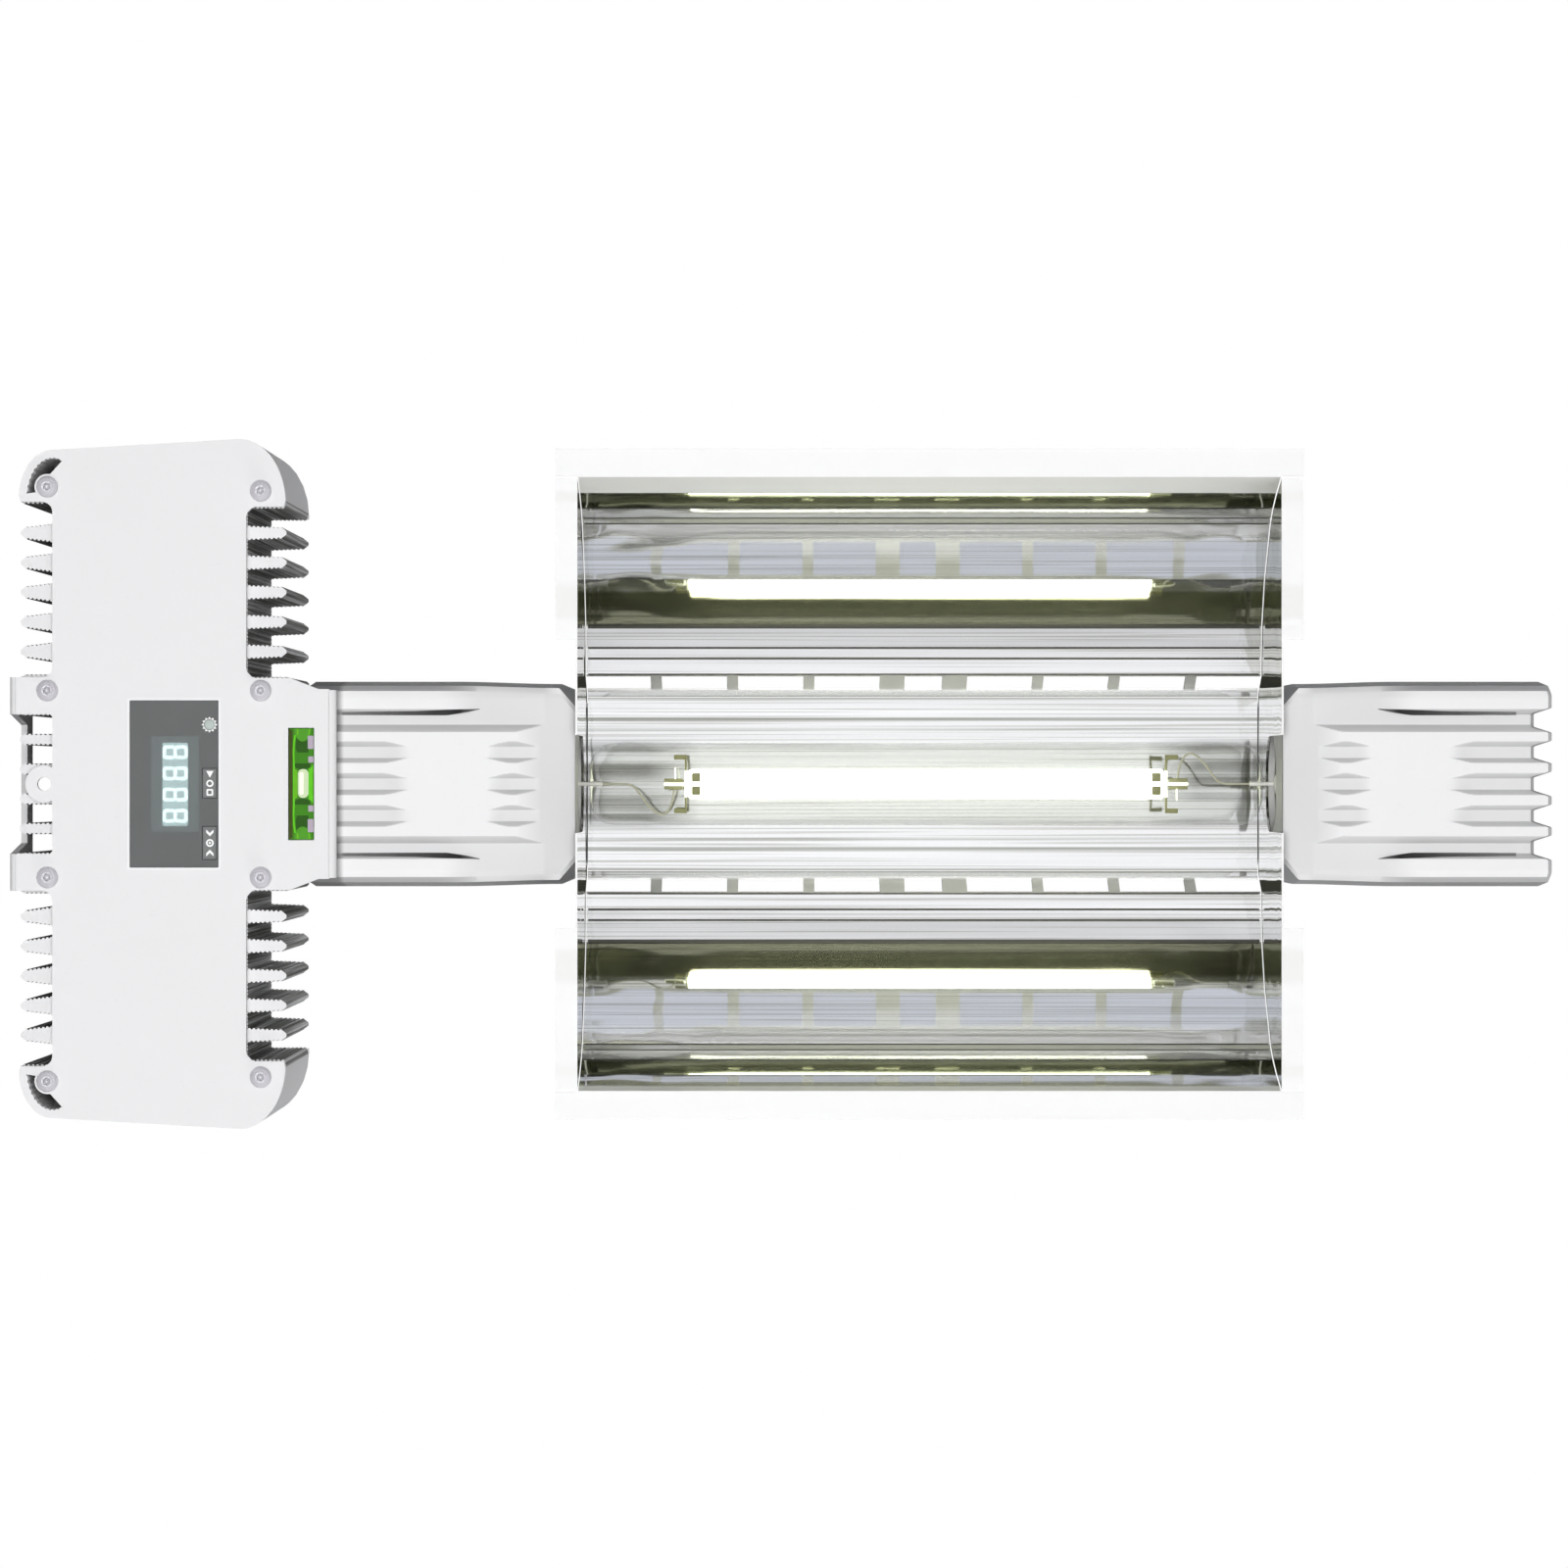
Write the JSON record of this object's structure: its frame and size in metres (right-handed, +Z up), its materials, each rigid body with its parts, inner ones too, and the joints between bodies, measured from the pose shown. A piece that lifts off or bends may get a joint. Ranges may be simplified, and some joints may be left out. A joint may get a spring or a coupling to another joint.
{
  "type": "grow light fixture",
  "caption": "Hanging greenhouse grow light: finned ballast with display and spirit level, two lamp arms, folded mirror reflector, double-ended lamp and wire bails.",
  "frame": {"origin": "centre of the chassis beam's top face, straight above the middle of the lamp", "axes": "+Z up, out of the beam; +X from the ballast, past the lamp, to the far arm; light leaves towards -Z"},
  "size_m": [0.5991, 0.2674, 0.1465],
  "materials": {
    "white_paint": "satin white powder coat",
    "mirror_sheet": "polished and anodised reflector sheet",
    "screw_steel": "bright zinc plate",
    "smoked_glass": "smoked clear acrylic",
    "black_plastic": "moulded, satin",
    "circuit_board": "solder mask",
    "level_green": "clear fluorescent acrylic",
    "quartz": "clear fused quartz",
    "arc_white": "translucent arc tube, lit",
    "lamp_wire": "drawn nickel wire",
    "ceramic_white": "unglazed steatite",
    "core_steel": "varnished laminations",
    "capacitor_sleeve": "shrink sleeve",
    "silicone": "high-temperature insulation",
    "gasket_rubber": "moulded, matt"
  },
  "bodies": {
    "fixture": {"arc_tube": "arc_white", "ballast_extrusion": "white_paint", "bottom_plate": "white_paint", "bottom_screw_1": "screw_steel", "bottom_screw_2": "screw_steel", "bottom_screw_3": "screw_steel", "bottom_screw_4": "screw_steel", "bottom_screw_5": "screw_steel", "bottom_screw_6": "screw_steel", "bottom_screw_7": "screw_steel", "bottom_screw_8": "screw_steel", "capacitor_1": "capacitor_sleeve", "capacitor_2": "capacitor_sleeve", "capacitor_3": "capacitor_sleeve", "chassis_beam": "white_paint", "control_port_in": "black_plastic", "control_port_out": "black_plastic", "digit_display": "black_plastic", "display_board": "circuit_board", "display_window": "smoked_glass", "driver_board": "circuit_board", "filter_choke": "core_steel", "indicator_lens": "quartz", "lamp_envelope": "quartz", "lamp_left_frame": "lamp_wire", "lamp_left_lead": "lamp_wire", "lamp_left_seal": "ceramic_white", "lamp_right_frame": "lamp_wire", "lamp_right_lead": "lamp_wire", "lamp_right_seal": "ceramic_white", "left_arm_cover": "white_paint", "left_arm_shell": "white_paint", "left_contact_clip": "screw_steel", "left_hanger_bracket": "screw_steel", "left_lamp_holder": "ceramic_white", "left_lead_wire": "silicone", "level_vial": "level_green", "mains_inlet": "black_plastic", "plate_gasket": "gasket_rubber", "power_transformer": "core_steel", "reflector_front_wing": "mirror_sheet", "reflector_left_end": "mirror_sheet", "reflector_rear_wing": "mirror_sheet", "reflector_right_end": "mirror_sheet", "reflector_spine": "mirror_sheet", "right_arm_cover": "white_paint", "right_arm_shell": "white_paint", "right_contact_clip": "screw_steel", "right_hanger_bracket": "screw_steel", "right_lamp_holder": "ceramic_white", "right_lead_wire": "silicone", "top_plate": "white_paint", "top_screw_1": "screw_steel", "top_screw_2": "screw_steel", "top_screw_3": "screw_steel", "top_screw_4": "screw_steel"},
    "mode_key": {"mode_key": "smoked_glass"},
    "select_key": {"select_key": "smoked_glass"},
    "left_bail": {"left_hanger_bail": "screw_steel"},
    "right_bail": {"right_hanger_bail": "screw_steel"}
  },
  "joints": [
    {"name": "mode_key_press", "type": "slide", "parent": "fixture", "child": "mode_key", "axis": [0, 0, 1], "range_m": [0, 0.0005], "stiffness_N_per_m": 600, "springref_m": -0.001},
    {"name": "select_key_press", "type": "slide", "parent": "fixture", "child": "select_key", "axis": [0, 0, 1], "range_m": [0, 0.0005], "stiffness_N_per_m": 600, "springref_m": -0.001},
    {"name": "left_bail_swing", "type": "hinge", "parent": "fixture", "child": "left_bail", "pos_m": [-0.3, 0, 0.0054], "axis": [0, -1, 0], "range_deg": [0, 180]},
    {"name": "right_bail_swing", "type": "hinge", "parent": "fixture", "child": "right_bail", "pos_m": [0.19, 0, 0.0054], "axis": [0, 1, 0], "range_deg": [0, 180]}
  ]
}
